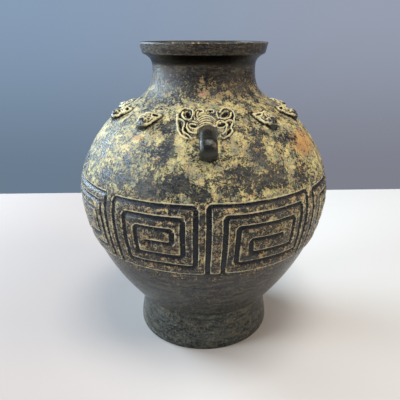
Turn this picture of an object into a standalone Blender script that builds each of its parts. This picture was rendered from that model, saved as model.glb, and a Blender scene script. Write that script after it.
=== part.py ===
# Bronze vase: one hollow casting with a meander band, two mask lugs and eight small heads.
# Units are metres, +Z is up, and the origin is on the ground under the axis.
# Angles run round the vase from the front (-Y) towards +X.

from math import cos, pi, radians, sin

import bmesh
import bpy
import numpy as np
from mathutils import Matrix, Vector

# Height and main radii
HEIGHT = 0.340
FOOT_RADIUS = 0.0817
FOOT_TOP_RADIUS = 0.0760
FOOT_HEIGHT = 0.0475
BELLY_START_RADIUS = 0.0815
BELLY_RADIUS = 0.1428
BELLY_HEIGHT = 0.185
BELLY_FULLNESS = 1.88
SHOULDER_RADIUS = 0.0961
SHOULDER_HEIGHT = 0.2667
SHOULDER_SLOPE_DEG = 31.0
NECK_RADIUS = 0.0559
NECK_HEIGHT = 0.3140

# How far each of the outline's curves keeps its direction
BELLY_HANDLE = 0.0262
SHOULDER_HANDLE = 0.0256
NECK_ROOT_HANDLE = 0.0382
NECK_HANDLE = 0.0250

# Lip
LIP_RADIUS = 0.0689
LIP_FACE = 0.0115
LIP_TAPER = 0.0027
LIP_CHAMFER = 0.0008
LIP_WALL = 0.0050
THROAT_RISE = 0.0080
MOUTH_DEPTH = 0.0040

# Walls
WALL = 0.0035
FOOT_WALL = 0.0050
FLOOR_THICKNESS = 0.0045
FLOOR_RISE = 0.0025
FLOOR_TOP = FOOT_HEIGHT + FLOOR_RISE
FLOOR_UNDER = FLOOR_TOP - FLOOR_THICKNESS

# Meander band
BAND_LOW = 0.1325
BAND_TOP_GROOVE = 0.2040
BAND_FOOT_GROOVE = 0.1430
RELIEF = 0.0023
GROOVE_DEPTH = 0.0021
GROOVE_WIDTH = 0.0040
GROOVE_PITCH = 0.0108
PANEL_EDGES_DEG = (-3.0, 46.5, 92.0, 137.0, 182.0, 227.0, 271.5, 318.0)
PANEL_MARGIN_DEG = 2.4
SIDE_PITCH_DEG = 4.9
OPEN_END = 0.0040

# Ornaments on the shoulder
LUG_ANGLES_DEG = (0.0, 180.0)
LUG_HEIGHT = 0.2545
LUG_HALF_RISE = 0.0075
LUG_ROOT_RADIUS = 0.1120
LUG_REACH = 0.0145
LUG_THICKNESS = 0.0080
LUG_WIDTH = 0.0155
LUG_LEG = 0.0140
LUG_SQUARENESS = 0.7
MASK_HEIGHT = 0.2675
MASK_WIDTH = 0.0580
MASK_RIDGE = 0.0013
HEAD_HEIGHT = 0.2695
HEAD_ANGLES_DEG = (38.0, 72.0, 107.0, 144.0, 216.0, 253.0, 288.0, 322.0)
HEAD_WIDTH = 0.0240
HEAD_LENGTH = 0.0220
HEAD_PROUD = 0.0050
HEAD_SUNK = 0.0005

# Fineness of the turned shape
TURN_STEPS = 48
BELLY_STEPS = 4
BAND_STEPS = 3
SHOULDER_STEPS = 4
NECK_STEPS = 3
FOOT_STEPS = 2
INSIDE_BELLY_STEPS = 2
ARC_STEP_DEG = 360.0 / TURN_STEPS
RISE_STEP = 0.0240

BRONZE_COLOUR = (0.085, 0.080, 0.060, 1.0)
BRONZE_ROUGHNESS = 0.55
BRONZE_METALLIC = 0.6


def clear_scene():
    for found in list(bpy.data.objects):
        bpy.data.objects.remove(found, do_unlink=True)


def new_collection(name):
    made = bpy.data.collections.new(name)
    bpy.context.scene.collection.children.link(made)
    return made


def bezier(start, first_handle, second_handle, end, steps):
    # Points along a cubic curve, with both ends.
    found = []
    for step in range(steps + 1):
        t = step / steps
        weights = ((1 - t) ** 3, 3 * t * (1 - t) ** 2, 3 * t * t * (1 - t), t ** 3)
        corners = (start, first_handle, second_handle, end)
        found.append(tuple(sum(w * c[axis] for w, c in zip(weights, corners)) for axis in (0, 1)))
    return found


# The outline, as (radius, height) from the foot up


def plain_belly(z):
    # Radius of the lower belly, without the band's relief.
    share = (BELLY_HEIGHT - z) / (BELLY_HEIGHT - FOOT_HEIGHT)
    full = BELLY_RADIUS - RELIEF
    return full - (full - BELLY_START_RADIUS) * max(share, 0.0) ** BELLY_FULLNESS


def foot_points(steps):
    found = []
    for step in range(steps + 1):
        share = step / steps
        ease = share * share * (3 - 2 * share)
        found.append((FOOT_RADIUS + (FOOT_TOP_RADIUS - FOOT_RADIUS) * ease, FOOT_HEIGHT * share))
    return found


def belly_points(steps):
    heights = np.linspace(FOOT_HEIGHT, BAND_LOW, steps + 1)
    return [(plain_belly(z), float(z)) for z in heights]


def band_points(steps):
    heights = np.linspace(BAND_LOW, BELLY_HEIGHT, steps + 1)
    return [(plain_belly(z) + RELIEF, float(z)) for z in heights]


def shoulder_points(steps):
    slope = radians(SHOULDER_SLOPE_DEG)
    lean = (cos(slope), -sin(slope))
    handle = (SHOULDER_RADIUS + SHOULDER_HANDLE * lean[0], SHOULDER_HEIGHT + SHOULDER_HANDLE * lean[1])
    return bezier(
        (BELLY_RADIUS, BELLY_HEIGHT),
        (BELLY_RADIUS, BELLY_HEIGHT + BELLY_HANDLE),
        handle,
        (SHOULDER_RADIUS, SHOULDER_HEIGHT),
        steps,
    )


def neck_points(steps):
    slope = radians(SHOULDER_SLOPE_DEG)
    root = (
        SHOULDER_RADIUS - NECK_ROOT_HANDLE * cos(slope),
        SHOULDER_HEIGHT + NECK_ROOT_HANDLE * sin(slope),
    )
    return bezier(
        (SHOULDER_RADIUS, SHOULDER_HEIGHT),
        root,
        (NECK_RADIUS, NECK_HEIGHT - NECK_HANDLE),
        (NECK_RADIUS, NECK_HEIGHT),
        steps,
    )


def lip_points():
    # The cove under the lip, then its upright face.
    edge = (LIP_RADIUS - LIP_TAPER, HEIGHT - LIP_FACE)
    cove = bezier(
        (NECK_RADIUS, NECK_HEIGHT),
        (NECK_RADIUS, NECK_HEIGHT + (edge[1] - NECK_HEIGHT) * 0.6),
        (NECK_RADIUS + (edge[0] - NECK_RADIUS) * 0.35, edge[1] - 0.003),
        edge,
        3,
    )
    face = [(LIP_RADIUS, HEIGHT - LIP_CHAMFER), (LIP_RADIUS - LIP_CHAMFER, HEIGHT)]
    return cove[1:] + face


def skin_points():
    # The whole outer outline, from the ground to the rim.
    return (
        foot_points(FOOT_STEPS)
        + belly_points(BELLY_STEPS)
        + band_points(BAND_STEPS)
        + shoulder_points(SHOULDER_STEPS)[1:]
        + neck_points(NECK_STEPS)[1:]
        + lip_points()
    )


SKIN = np.array(skin_points())


def skin_radius(z):
    # Outer radius at a height.
    return float(np.interp(z, SKIN[:, 1], SKIN[:, 0]))


def skin_lean(z):
    # Unit normal of the outline at a height, as (outward, upward).
    reach = 0.003
    rise = skin_radius(z - reach) - skin_radius(z + reach)
    across = Vector((2 * reach, rise)).normalized()
    return across.x, across.y


def inside_points():
    # The inner wall from the floor up: the outer outline moved in by the wall, then the flared mouth.
    outline = belly_points(INSIDE_BELLY_STEPS)[1:] + band_points(1)[1:]
    outline += shoulder_points(SHOULDER_STEPS)[1:] + neck_points(NECK_STEPS)[1:]
    found = [(plain_belly(FLOOR_TOP) - WALL * 1.1, FLOOR_TOP)]
    for radius, z in outline:
        out, up = skin_lean(z)
        depth = WALL + (RELIEF if BAND_LOW < z < BAND_TOP_GROOVE else 0.0)
        found.append((radius - depth * out, z - depth * up))
    found.append((NECK_RADIUS - WALL, NECK_HEIGHT + THROAT_RISE))
    found.append((LIP_RADIUS - LIP_WALL, HEIGHT - MOUTH_DEPTH))
    return found


def body_outline():
    # From the middle of the floor, up the inside, over the rim, down the outside and under the foot.
    mouth = (LIP_RADIUS - LIP_WALL, HEIGHT)
    outside = list(reversed(skin_points()))
    foot_inside = [(r - FOOT_WALL, z) for r, z in foot_points(1)]
    foot_inside[-1] = (foot_inside[-1][0], FLOOR_UNDER)
    return [(0.0, FLOOR_TOP)] + inside_points() + [mouth] + outside + foot_inside + [(0.0, FLOOR_UNDER)]


def turned_body(collection):
    mesh = bpy.data.meshes.new("vase")
    shape = bmesh.new()
    points = [shape.verts.new((r, 0.0, z)) for r, z in body_outline()]
    for first, second in zip(points, points[1:]):
        shape.edges.new((first, second))
    shape.to_mesh(mesh)
    shape.free()
    body = bpy.data.objects.new("vase", mesh)
    collection.objects.link(body)
    turn = body.modifiers.new("turn", "SCREW")
    turn.axis = "Z"
    turn.steps = TURN_STEPS
    turn.render_steps = TURN_STEPS
    turn.use_merge_vertices = True
    turn.merge_threshold = 0.00005
    turn.use_smooth_shade = True
    return body


# Meander: each groove is a path of (angle in degrees, height) on the belly


def spiral(left, right, low, high, legs):
    # Clockwise and inwards: up the left, over the top, down the right and back along the bottom.
    path = [(left, BAND_LOW - OPEN_END)]
    for leg in range(legs):
        turn = leg // 4
        near = left + SIDE_PITCH_DEG * turn
        far = right - SIDE_PITCH_DEG * turn
        corner = (
            (near, high - GROOVE_PITCH * turn),
            (far, high - GROOVE_PITCH * turn),
            (far, low + GROOVE_PITCH * turn),
            (near + SIDE_PITCH_DEG, low + GROOVE_PITCH * turn),
        )[leg % 4]
        path.append(corner)
    return path


def panel_grooves(left, right, framed):
    # A framed panel has a plain groove round it and its spiral one pitch further in.
    near = left + PANEL_MARGIN_DEG
    far = right - PANEL_MARGIN_DEG
    if not framed:
        return [spiral(near, far, BAND_FOOT_GROOVE, BAND_TOP_GROOVE, 12)]
    open_low = BAND_LOW - OPEN_END
    frame = [(near, open_low), (near, BAND_TOP_GROOVE), (far, BAND_TOP_GROOVE), (far, open_low)]
    inner = spiral(
        near + SIDE_PITCH_DEG,
        far - SIDE_PITCH_DEG,
        BAND_FOOT_GROOVE,
        BAND_TOP_GROOVE - GROOVE_PITCH,
        10,
    )
    return [frame, inner]


def dense(path):
    # The path's corners, with points between them close enough to follow the belly.
    found = []
    for (angle, z), (next_angle, next_z) in zip(path, path[1:]):
        across = abs(next_angle - angle) / ARC_STEP_DEG
        along = abs(next_z - z) / RISE_STEP
        count = max(1, round(max(across, along)))
        for step in range(count):
            share = step / count
            found.append((angle + (next_angle - angle) * share, z + (next_z - z) * share))
    found.append(path[-1])
    return found


def on_skin(angle_deg, z, proud=0.0):
    # A point this far outside the skin, level with the height.
    radius = skin_radius(z) + proud
    angle = radians(angle_deg)
    return Vector((radius * sin(angle), -radius * cos(angle), z))


def add_groove(shape, path):
    # A bar along the path, from the groove's floor to clear of the skin, with mitred corners.
    points = dense(path)
    half = GROOVE_WIDTH / 2
    half_deg = np.degrees(half / BELLY_RADIUS)
    rings = []
    for index, (angle, z) in enumerate(points):
        before = points[max(index - 1, 0)]
        after = points[min(index + 1, len(points) - 1)]
        sides = set()
        for start, end in ((before, (angle, z)), ((angle, z), after)):
            if start != end:
                level = abs(end[0] - start[0]) > 1e-9
                sign = 1.0 if (end[0] - start[0] + end[1] - start[1]) > 0 else -1.0
                sides.add((0.0, -sign * half) if level else (sign * half_deg, 0.0))
        off_angle = sum(side[0] for side in sides)
        off_z = sum(side[1] for side in sides)
        ring = []
        for sign, proud in ((-1, 0), (1, 0), (1, 1), (-1, 1)):
            place = (angle + sign * off_angle, z + sign * off_z)
            depth = plain_depth(place[1]) if not proud else RELIEF
            ring.append(shape.verts.new(on_skin(place[0], place[1], depth)))
        rings.append(ring)
    for ring, following in zip(rings, rings[1:]):
        for side in range(4):
            turn = (side + 1) % 4
            shape.faces.new((ring[side], ring[turn], following[turn], following[side]))
    shape.faces.new(rings[0][::-1])
    shape.faces.new(rings[-1])


def plain_depth(z):
    # The groove's floor below the skin, a hair outside it where the groove runs off the band.
    return -GROOVE_DEPTH if z >= BAND_LOW else RELIEF - GROOVE_DEPTH


def groove_cutter(collection):
    shape = bmesh.new()
    edges = PANEL_EDGES_DEG + (PANEL_EDGES_DEG[0] + 360.0,)
    for index, (left, right) in enumerate(zip(edges, edges[1:])):
        for path in panel_grooves(left, right, framed=index % 2 == 0):
            add_groove(shape, path)
    bmesh.ops.recalc_face_normals(shape, faces=shape.faces)
    mesh = bpy.data.meshes.new("meander_grooves")
    shape.to_mesh(mesh)
    shape.free()
    return helper(collection, "meander_grooves", mesh)


def helper(collection, name, mesh):
    made = bpy.data.objects.new(name, mesh)
    made.hide_render = True
    made.display_type = "WIRE"
    collection.objects.link(made)
    return made


# Ornaments: shapes set on the shoulder, x across, y up the slope and z outwards


def seat(angle_deg, z):
    # Matrix of a place on the skin.
    angle = radians(angle_deg)
    out, up = skin_lean(z)
    outward = Vector((out * sin(angle), -out * cos(angle), up))
    across = Vector((cos(angle), sin(angle), 0.0))
    slope = outward.cross(across)
    turn = Matrix((across, slope, outward)).transposed().to_4x4()
    return Matrix.Translation(on_skin(angle_deg, z)) @ turn


def add_dome(shape, matrix, centre, size, segments, rings):
    # An ellipsoid partly sunk in the wall.
    place = matrix @ Matrix.Translation(centre) @ Matrix.Diagonal((*size, 1.0))
    bmesh.ops.create_uvsphere(shape, u_segments=segments, v_segments=rings, radius=1.0, matrix=place)


def add_tube(shape, points, radius, widen=None, resolution=0):
    # A tube along world points, made as a curve and then joined to the shape.
    curve = bpy.data.curves.new("ridge", "CURVE")
    curve.dimensions = "3D"
    curve.bevel_depth = radius
    curve.bevel_resolution = resolution
    curve.use_fill_caps = True
    spline = curve.splines.new("POLY")
    spline.points.add(len(points) - 1)
    for point, place in zip(spline.points, points):
        point.co = (*place, 1.0)
    drawn = bpy.data.objects.new("ridge", curve)
    bpy.context.scene.collection.objects.link(drawn)
    graph = bpy.context.evaluated_depsgraph_get()
    mesh = bpy.data.meshes.new_from_object(drawn.evaluated_get(graph))
    bpy.data.objects.remove(drawn)
    part = bmesh.new()
    part.from_mesh(mesh)
    bmesh.ops.remove_doubles(part, verts=part.verts, dist=0.00001)
    if widen is not None:
        bmesh.ops.transform(part, matrix=widen, verts=part.verts)
    bmesh.ops.recalc_face_normals(part, faces=part.faces)
    part.to_mesh(mesh)
    part.free()
    shape.from_mesh(mesh)
    bpy.data.meshes.remove(mesh)


def beside(angle_deg, height, across, slope):
    # The angle and height of a place this far across and up the slope from another on the skin.
    out, up = skin_lean(height)
    z = height + slope * out
    return angle_deg + np.degrees(across / skin_radius(z)), z


def add_ridge(shape, angle_deg, height, points, radius):
    # A raised line on the skin; its points are (across, up the slope) from the seat.
    places = [on_skin(*beside(angle_deg, height, *point), radius * 0.25) for point in points]
    add_tube(shape, places, radius)


def arc(centre, size, start_deg, end_deg, count):
    # Points on an ellipse, with angles from +x towards +y.
    found = []
    for turn in np.linspace(radians(start_deg), radians(end_deg), count):
        found.append((centre[0] + size[0] * cos(turn), centre[1] + size[1] * sin(turn)))
    return found


def add_lug(shape, angle_deg):
    # An arch in the upright plane through the axis, both legs sunk in the shoulder.
    centre = [(LUG_ROOT_RADIUS - LUG_LEG, LUG_HEIGHT + LUG_HALF_RISE)]
    for turn in np.linspace(pi / 2, -pi / 2, 9):
        out = LUG_REACH * cos(turn) ** LUG_SQUARENESS
        lift = LUG_HALF_RISE * abs(sin(turn)) ** LUG_SQUARENESS
        centre.append((LUG_ROOT_RADIUS + out, LUG_HEIGHT + (lift if turn > 0 else -lift)))
    centre.append((LUG_ROOT_RADIUS - WALL / 3, LUG_HEIGHT - LUG_HALF_RISE))
    points = [Vector((0.0, -radius, z)) for radius, z in centre]
    turn = Matrix.Rotation(radians(angle_deg), 4, "Z")
    widen = turn @ Matrix.Diagonal((LUG_WIDTH / LUG_THICKNESS, 1.0, 1.0, 1.0))
    add_tube(shape, points, LUG_THICKNESS / 2, widen, resolution=2)


def add_mask(shape, angle_deg):
    # A beast's face above the lug, as shares of its half width: ears, brows, eyes, cheeks and wrinkles.
    unit = MASK_WIDTH / 2
    for side in (-1, 1):
        ear = arc((0.71, 0.47), (0.24, 0.21), -140, 130, 6)
        cheek = [(0.99, 0.16), (0.87, -0.18), (0.58, -0.42), (0.38, -0.48)]
        brow = [(0.28, 0.16), (0.48, 0.20), (0.68, 0.13)]
        for line in (ear, cheek, brow):
            points = [(side * unit * x, unit * y) for x, y in line]
            add_ridge(shape, angle_deg, MASK_HEIGHT, points, MASK_RIDGE)
        eye = seat(*beside(angle_deg, MASK_HEIGHT, side * unit * 0.46, -unit * 0.02))
        add_dome(shape, eye, (0.0, 0.0, 0.0), (unit * 0.135, unit * 0.11, MASK_RIDGE * 1.4), 6, 4)
    for size in (0.16, 0.30):
        wrinkle = [(unit * x, unit * y) for x, y in arc((0.0, -0.03), (size * 0.85, size), 30, 150, 4)]
        add_ridge(shape, angle_deg, MASK_HEIGHT, wrinkle, MASK_RIDGE)


def add_head(shape, angle_deg):
    # A small beast's head looking down the slope, with a blunt snout and two round ears.
    place = seat(angle_deg, HEAD_HEIGHT)
    half = HEAD_WIDTH / 2
    long = HEAD_LENGTH / 2
    snout = HEAD_PROUD * 1.2
    add_dome(shape, place, (0.0, 0.0, -HEAD_SUNK), (half * 0.86, long * 0.95, HEAD_PROUD), 8, 4)
    add_dome(shape, place, (0.0, -long * 0.55, HEAD_SUNK), (half * 0.48, long * 0.5, snout), 6, 4)
    for side in (-1, 1):
        ear = (side * half * 0.68, long * 0.62, HEAD_SUNK)
        add_dome(shape, place, ear, (half * 0.36, long * 0.36, HEAD_PROUD * 0.85), 5, 4)


def ornaments(collection):
    shape = bmesh.new()
    for angle in LUG_ANGLES_DEG:
        add_mask(shape, angle)
        add_lug(shape, angle)
    for angle in HEAD_ANGLES_DEG:
        add_head(shape, angle)
    mesh = bpy.data.meshes.new("shoulder_ornaments")
    shape.to_mesh(mesh)
    shape.free()
    return helper(collection, "shoulder_ornaments", mesh)


def bronze():
    made = bpy.data.materials.new("patinated_bronze")
    made.use_nodes = True
    shader = made.node_tree.nodes["Principled BSDF"]
    shader.inputs["Base Color"].default_value = BRONZE_COLOUR
    shader.inputs["Roughness"].default_value = BRONZE_ROUGHNESS
    shader.inputs["Metallic"].default_value = BRONZE_METALLIC
    return made


def add_boolean(target, name, operation, other, self_crossing=False):
    cut = target.modifiers.new(name, "BOOLEAN")
    cut.operation = operation
    cut.solver = "EXACT"
    cut.use_self = self_crossing
    cut.object = other


def build():
    clear_scene()
    parts = new_collection("bronze_vase")
    cutters = new_collection("cutters")
    body = turned_body(parts)
    body.data.materials.append(bronze())
    add_boolean(body, "meander", "DIFFERENCE", groove_cutter(cutters))
    add_boolean(body, "ornaments", "UNION", ornaments(cutters), self_crossing=True)


build()
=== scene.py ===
from math import cos, pi, radians, sin

import bmesh
import bpy
import numpy as np
from mathutils import Matrix, Vector, noise


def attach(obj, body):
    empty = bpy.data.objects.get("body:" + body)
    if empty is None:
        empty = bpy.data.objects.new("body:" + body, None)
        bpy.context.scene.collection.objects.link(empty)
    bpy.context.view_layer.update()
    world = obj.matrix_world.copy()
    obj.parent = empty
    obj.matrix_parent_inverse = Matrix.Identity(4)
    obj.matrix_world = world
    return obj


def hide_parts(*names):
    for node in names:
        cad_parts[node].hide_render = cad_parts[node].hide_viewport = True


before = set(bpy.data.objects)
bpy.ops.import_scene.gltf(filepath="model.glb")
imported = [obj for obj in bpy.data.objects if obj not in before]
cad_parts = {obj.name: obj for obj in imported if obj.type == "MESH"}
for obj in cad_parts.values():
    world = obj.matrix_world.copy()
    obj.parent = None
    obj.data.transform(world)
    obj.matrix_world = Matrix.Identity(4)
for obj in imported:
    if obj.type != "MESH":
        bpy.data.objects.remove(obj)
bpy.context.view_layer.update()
mm = 0.001


def clearSelection():
    if bpy.context.object and bpy.context.object.mode != "OBJECT":
        bpy.ops.object.mode_set(mode="OBJECT")
    bpy.ops.object.select_all(action="DESELECT")


def pickOnly(*shapes):
    clearSelection()
    for shape in shapes:
        shape.select_set(True)
    bpy.context.view_layer.objects.active = shapes[0]


def faceOutward(shape):
    pickOnly(shape)
    bpy.ops.object.mode_set(mode="EDIT")
    bpy.ops.mesh.select_all(action="SELECT")
    bpy.ops.mesh.normals_make_consistent(inside=False)
    bpy.ops.object.mode_set(mode="OBJECT")


def ease(low, high, value):
    share = np.clip((value - low) / (high - low), 0.0, 1.0)
    return share * share * (3 - 2 * share)


def offsets(base, steps):
    # Outline points that lie some millimetres out and up from a base.
    return [(base[0] + across * mm, base[1] + up * mm) for across, up in steps]


# The jar's outline, as (radius, height)

jar = {
    "height": 0.340,
    "footRadius": 0.0817, "footTop": 0.0760, "footHeight": 0.0475, "footWall": 0.0050,
    "bellyStart": 0.0815, "bellyRadius": 0.1428, "bellyHeight": 0.185, "bellyFullness": 1.88,
    "shoulderRadius": 0.0961, "shoulderHeight": 0.2667, "shoulderSlope": 31.0,
    "neckRadius": 0.0559, "neckHeight": 0.3140,
    "bellyHandle": 0.0262, "shoulderHandle": 0.0256, "neckRootHandle": 0.0382, "neckHandle": 0.0250,
    "coveHandles": (0.6, 0.35, 0.003),
    "lipRadius": 0.0689, "lipFace": 0.0115, "lipTaper": 0.0027, "lipRound": 0.0008, "lipWall": 0.0050,
    "wall": 0.0035, "floorTop": 0.0500, "floorUnder": 0.0455,
    "bandLow": 0.1325, "bandStep": (-1.1, 0.9), "relief": 0.0023,
}


def curve(start, startHandle, endHandle, end, count):
    share = np.linspace(0, 1, count)[:, None]
    corners = [np.array(p, float) for p in (start, startHandle, endHandle, end)]
    weights = ((1 - share) ** 3, 3 * share * (1 - share) ** 2, 3 * share**2 * (1 - share), share**3)
    return sum(w * c for w, c in zip(weights, corners))


def outlineTable():
    # Fine points from the ground to the rim's outer edge.
    j = jar
    slope = radians(j["shoulderSlope"])
    lean = np.array((cos(slope), -sin(slope)))
    shoulder = np.array((j["shoulderRadius"], j["shoulderHeight"]))
    z = np.linspace(0, j["footHeight"], 40)[:-1]
    foot = np.stack((j["footRadius"] + (j["footTop"] - j["footRadius"]) * ease(0, j["footHeight"], z), z), 1)
    z = np.linspace(j["footHeight"], j["bellyHeight"], 300)
    share = (j["bellyHeight"] - z) / (j["bellyHeight"] - j["footHeight"])
    full = j["bellyRadius"] - j["relief"]
    radius = full - (full - j["bellyStart"]) * share ** j["bellyFullness"]
    radius += j["relief"] * ease(*(j["bandLow"] + step * mm for step in j["bandStep"]), z)
    belly = np.stack((radius, z), 1)
    widest = (j["bellyRadius"], j["bellyHeight"])
    above = curve(
        widest, (widest[0], widest[1] + j["bellyHandle"]), shoulder + j["shoulderHandle"] * lean, shoulder, 120
    )
    throat = (j["neckRadius"], j["neckHeight"])
    neck = curve(
        shoulder, shoulder - j["neckRootHandle"] * lean, (throat[0], throat[1] - j["neckHandle"]), throat, 120
    )
    edge = (j["lipRadius"] - j["lipTaper"], j["height"] - j["lipFace"])
    rise, reach, drop = j["coveHandles"]
    cove = curve(
        throat, (throat[0], throat[1] + (edge[1] - throat[1]) * rise),
        (throat[0] + (edge[0] - throat[0]) * reach, edge[1] - drop), edge, 40,
    )
    face = [(j["lipRadius"], j["height"] - j["lipRound"]), (j["lipRadius"] - j["lipRound"], j["height"])]
    return np.concatenate((foot, belly, above[1:], neck[1:], cove[1:], face))


outline = outlineTable()
slopeAlong = np.concatenate(([0.0], np.cumsum(np.hypot(*np.diff(outline, axis=0).T))))
# the normals come from an outline smoothed over seven points
padded = [np.pad(outline[:, i], 3, mode="edge") for i in (0, 1)]
smoothTable = np.stack([np.convolve(line, np.ones(7) / 7, "valid") for line in padded], 1)
tangents = np.gradient(smoothTable, axis=0)
tangents /= np.linalg.norm(tangents, axis=1)[:, None]


def radiusAt(z):
    return np.interp(z, outline[:, 1], outline[:, 0])


def normalAt(z):
    # Outward and upward parts of the skin's normal at a height.
    out = np.interp(z, outline[:, 1], tangents[:, 1])
    up = -np.interp(z, outline[:, 1], tangents[:, 0])
    size = np.hypot(out, up)
    return out / size, up / size


def alongAt(z):
    # Length along the outline from the ground to a height.
    return np.interp(z, outline[:, 1], slopeAlong)


def heightAlong(length):
    return np.interp(length, slopeAlong, outline[:, 1])


# Meander band: canonical columns and levels, which each panel then shifts to its own places

meander = {
    "edges": (-42.0, -3.0, 46.5, 92.0, 137.0, 182.0, 227.0, 271.5, 318.0),
    "width": 39.0, "openSides": (2.5, 8.0, 13.0, 18.0, 28.0, 32.0, 36.8),
    "closedWidth": 49.5, "closedSides": (2.7, 9.0, 14.0, 19.5, 33.0, 39.0, 43.3, 47.0),
    "levels": (204.0, 193.5, 182.5, 168.0, 154.0, 143.0),
    "openLevels": (203.7, 192.3, 181.5, 167.3, 153.6, 142.4),
    "closedLevels": (205.0, 195.0, 183.8, 169.5, 154.2, 143.2),
    "levelGroove": 4.1, "uprightGroove": 5.0, "wallRun": 0.6, "bevel": 0.8, "corner": 3.0, "cornerCut": 0.3,
    "depth": 2.2, "edgeDrop": 0.42, "dropWidth": 1.2, "radius": 141.5, "openEnd": 127.5, "endShort": 0.4,
    # widest gap between columns, in degrees, and between rows
    "columnGap": 1.1, "rowGap": 2.3,
    "lowRows": (129.6, 131.0, 131.5, 132.0, 132.6, 133.2, 134.2, 136.5), "highRows": (209.6, 212.0),
    # how pale the grooves' edges wear: everywhere, on the sides, on the upper edge
    "wear": (0.12, 0.55, 0.95), "wearAt": 1.2, "wearWidth": 0.75,
    # reach of the carved band, footline, and hand-cut shifts of the panels
    "reach": (127, 214), "footLine": 133.2, "shiftReach": (134.0, 216.0), "shift": (0.5, 2.3),
}


def panelSides(index):
    # Groove angles of a panel, from its left edge, and whether a plain groove closes it.
    left, right = meander["edges"][index], meander["edges"][index + 1]
    closed = index % 2 == 1
    if closed:
        shares = np.array(meander["closedSides"]) / meander["closedWidth"]
    else:
        shares = np.array(meander["openSides"]) / meander["width"]
    return left + (right - left) * shares, closed


def softCorner(path):
    # A path's corners are turned by short arcs.
    reach, cut = meander["corner"], meander["cornerCut"]
    perDegree = radians(1) * meander["radius"]
    found = [path[0]]
    for before, here, after in zip(path, path[1:], path[2:]):
        arms = []
        for other in (before, after):
            da, dz = (other[0] - here[0]) * perDegree, other[1] - here[1]
            size = (da * da + dz * dz) ** 0.5
            arms.append((da / size * reach / perDegree, dz / size * reach))
        (a1, z1), (a2, z2) = arms
        found += [(here[0] + a1, here[1] + z1), (here[0] + cut * (a1 + a2), here[1] + cut * (z1 + z2))]
        found.append((here[0] + a2, here[1] + z2))
    return found + [path[-1]]


def panelPaths(index):
    # Corners of a panel's grooves, as (angle, level), winding clockwise inwards.
    sides, closed = panelSides(index)
    top, high, upper, middle, lower, low = meander["levels"]
    start = meander["openEnd"]
    if not closed:
        a, b, c, end, d, e, f = sides
        return [[
            (a, start), (a, top), (f, top), (f, low), (b, low), (b, high), (e, high), (e, lower),
            (c, lower), (c, upper), (d, upper), (d, middle), (end, middle),
        ]]
    a, b, c, d, end, e, f, g = sides
    return [
        [(a, start), (a, top), (g, top), (g, start)],
        [
            (b, start), (b, high), (f, high), (f, low), (c, low), (c, upper), (e, upper), (e, lower),
            (d, lower), (d, middle), (end, middle),
        ],
    ]


def fillGaps(marks, gap, slack=0.0):
    # Even steps from mark to mark, up to the last one, which is left out.
    filled = []
    for first, second in zip(marks, marks[1:]):
        count = max(1, int(np.ceil((second - first) / gap - slack)))
        filled += list(np.linspace(first, second, count + 1)[:-1])
    return filled


def columnAngles():
    # Columns of the turned mesh: on every groove's edges, and evenly between them.
    perDegree = radians(1) * meander["radius"]
    half, run, bevel = meander["uprightGroove"] / 2, meander["wallRun"], meander["bevel"]
    short = meander["endShort"]
    found = set()
    for index in range(8):
        sides, closed = panelSides(index)
        for number, angle in enumerate(sides):
            steps = (half - run, half + run, half + run + bevel)
            steps = steps + tuple(-s for s in steps)
            if number == (4 if closed else 3):
                steps = (half - run - short, half + run - short)
            found.update(round(float(angle + s / perDegree), 3) for s in steps)
    marks = sorted(found)
    marks.append(marks[0] + 360)
    angles = fillGaps(marks, meander["columnGap"], 0.05)
    if len(angles) % 2:
        widest = int(np.argmax(np.diff(angles)))
        angles.insert(widest + 1, (angles[widest] + angles[widest + 1]) / 2)
    return np.array(angles)


def bandRows():
    # Heights of the band's rings.
    half, run, bevel = meander["levelGroove"] / 2, meander["wallRun"], meander["bevel"]
    rows = list(meander["lowRows"])
    for level in reversed(meander["levels"]):
        rows += [level + s for s in (-half - run - bevel, -half - run, -half + run)]
        rows += [level + s for s in (half - run, half + run, half + run + bevel)]
    high = list(meander["highRows"])
    return np.array(fillGaps(rows + high[:1], meander["rowGap"]) + high) * mm


columns = columnAngles()
print("columns round the jar:", len(columns))


# Turned skin: three outlines spun at their own fineness, then bridged


def spinOutline(name, points, steps):
    # A circle's points are pulled onto the outline, opened, and spun round the axis.
    clearSelection()
    bpy.ops.mesh.primitive_circle_add(vertices=len(points), radius=jar["bellyRadius"])
    shape = bpy.context.object
    shape.name = name
    for vertex, (radius, z) in zip(shape.data.vertices, points):
        vertex.co = (0.0, -radius, z)
    bpy.ops.object.mode_set(mode="EDIT")
    bpy.ops.mesh.select_mode(type="EDGE")
    bpy.ops.mesh.select_all(action="DESELECT")
    drawn = bmesh.from_edit_mesh(shape.data)
    for edge in drawn.edges:
        edge.select_set({v.index for v in edge.verts} == {0, len(points) - 1})
    bmesh.update_edit_mesh(shape.data)
    bpy.ops.mesh.delete(type="EDGE")
    bpy.ops.mesh.select_all(action="SELECT")
    bpy.ops.mesh.spin(steps=steps, angle=2 * pi, center=(0, 0, 0), axis=(0, 0, 1))
    bpy.ops.mesh.select_all(action="SELECT")
    bpy.ops.mesh.remove_doubles(threshold=0.01 * mm)
    bpy.ops.object.mode_set(mode="OBJECT")
    return shape


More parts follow.
